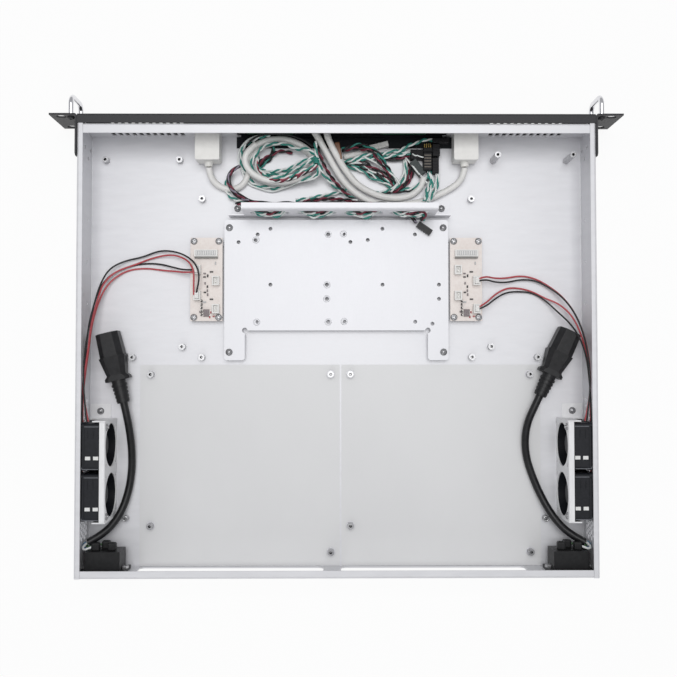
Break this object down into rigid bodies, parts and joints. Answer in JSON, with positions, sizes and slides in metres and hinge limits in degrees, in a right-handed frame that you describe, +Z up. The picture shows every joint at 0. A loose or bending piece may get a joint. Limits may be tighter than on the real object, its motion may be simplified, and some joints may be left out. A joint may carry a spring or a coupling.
{
  "type": "rackmount computer chassis",
  "caption": "Open-topped one-unit rack case for small computer boards, with ears, bow handles, side fans, drive tray, mains pigtails and front cable bundle.",
  "frame": {"origin": "middle of the pan's underside", "axes": "+Z up, the front panel faces -Y, +X across the rack towards the left side seen in the picture"},
  "size_m": [0.4826, 0.4094, 0.0436],
  "materials": {
    "zinc_sheet": "satin zinc-coated sheet",
    "white_sheet": "satin white-grey sheet",
    "black_paint": "fine textured black powder coat",
    "bright_bar": "polished plating",
    "steel_fastener": "bright zinc",
    "black_plastic": "matt moulded",
    "black_pvc": "satin cord sheath",
    "white_plastic": "ivory moulded",
    "white_pvc": "soft white cable sheath",
    "lead_wire": "thin coloured wire sheaths",
    "insulator_film": "grey plastic film",
    "cream_board": "pale circuit board",
    "socket_nylon": "white nylon",
    "green_board": "green circuit board",
    "led_lens": "clear tinted lens"
  },
  "bodies": {
    "chassis": {"base_pan": "zinc_sheet", "front_wall": "zinc_sheet", "rear_wall": "zinc_sheet", "drive_tray": "white_sheet", "cable_bar": "white_sheet", "fan_bracket_left": "white_sheet", "fan_bracket_right": "white_sheet", "front_panel": "black_paint", "ear_left": "black_paint", "ear_right": "black_paint", "handle_left": "bright_bar", "handle_right": "bright_bar", "machine_screws": "steel_fastener", "inlet_screws": "steel_fastener", "board_standoffs_left": "steel_fastener", "board_standoffs_right": "steel_fastener", "floor_standoffs": "steel_fastener", "tall_posts": "steel_fastener", "fan_frame_left_front": "black_plastic", "fan_frame_left_rear": "black_plastic", "fan_frame_right_front": "black_plastic", "fan_frame_right_rear": "black_plastic", "inlet_left": "black_plastic", "inlet_right": "black_plastic", "line_socket_left": "black_plastic", "line_socket_right": "black_plastic", "pin_plug": "black_plastic", "mains_cord_left": "black_pvc", "mains_cord_right": "black_pvc", "usb_block_left": "white_plastic", "usb_block_right": "white_plastic", "usb_cable_left": "white_pvc", "usb_cable_right": "white_pvc", "usb_tail": "white_pvc", "lead_coil": "white_pvc", "lead_hank": "lead_wire", "sleeved_leads": "lead_wire", "fan_lead_left_front": "lead_wire", "fan_lead_left_rear": "lead_wire", "fan_lead_right_front": "lead_wire", "fan_lead_right_rear": "lead_wire", "insulator_left": "insulator_film", "insulator_right": "insulator_film", "power_board_left": "cream_board", "power_board_right": "cream_board", "board_sockets_left": "socket_nylon", "board_sockets_right": "socket_nylon", "switch_board_left": "green_board", "switch_board_right": "green_board", "led_lenses": "led_lens"},
    "fan_left_front": {"fan_rotor_left_front": "black_plastic"},
    "fan_left_rear": {"fan_rotor_left_rear": "black_plastic"},
    "fan_right_front": {"fan_rotor_right_front": "black_plastic"},
    "fan_right_rear": {"fan_rotor_right_rear": "black_plastic"},
    "power_left": {"power_button_left": "black_plastic"},
    "reset_left": {"reset_button_left": "black_plastic"},
    "power_right": {"power_button_right": "black_plastic"},
    "reset_right": {"reset_button_right": "black_plastic"}
  },
  "joints": [
    {"name": "fan_left_front_spin", "type": "hinge", "parent": "chassis", "child": "fan_left_front", "pos_m": [0.2038, 0.0811, 0.0212], "axis": [1, 0, 0], "continuous": true},
    {"name": "fan_left_rear_spin", "type": "hinge", "parent": "chassis", "child": "fan_left_rear", "pos_m": [0.2038, 0.1233, 0.0212], "axis": [1, 0, 0], "continuous": true},
    {"name": "fan_right_front_spin", "type": "hinge", "parent": "chassis", "child": "fan_right_front", "pos_m": [-0.2038, 0.0811, 0.0212], "axis": [-1, 0, 0], "continuous": true},
    {"name": "fan_right_rear_spin", "type": "hinge", "parent": "chassis", "child": "fan_right_rear", "pos_m": [-0.2038, 0.1233, 0.0212], "axis": [-1, 0, 0], "continuous": true},
    {"name": "power_left_press", "type": "slide", "parent": "chassis", "child": "power_left", "axis": [0, 1, 0], "range_m": [0, 0.001], "stiffness_N_per_m": 900},
    {"name": "reset_left_press", "type": "slide", "parent": "chassis", "child": "reset_left", "axis": [0, 1, 0], "range_m": [0, 0.001], "stiffness_N_per_m": 900},
    {"name": "power_right_press", "type": "slide", "parent": "chassis", "child": "power_right", "axis": [0, 1, 0], "range_m": [0, 0.001], "stiffness_N_per_m": 900},
    {"name": "reset_right_press", "type": "slide", "parent": "chassis", "child": "reset_right", "axis": [0, 1, 0], "range_m": [0, 0.001], "stiffness_N_per_m": 900}
  ]
}
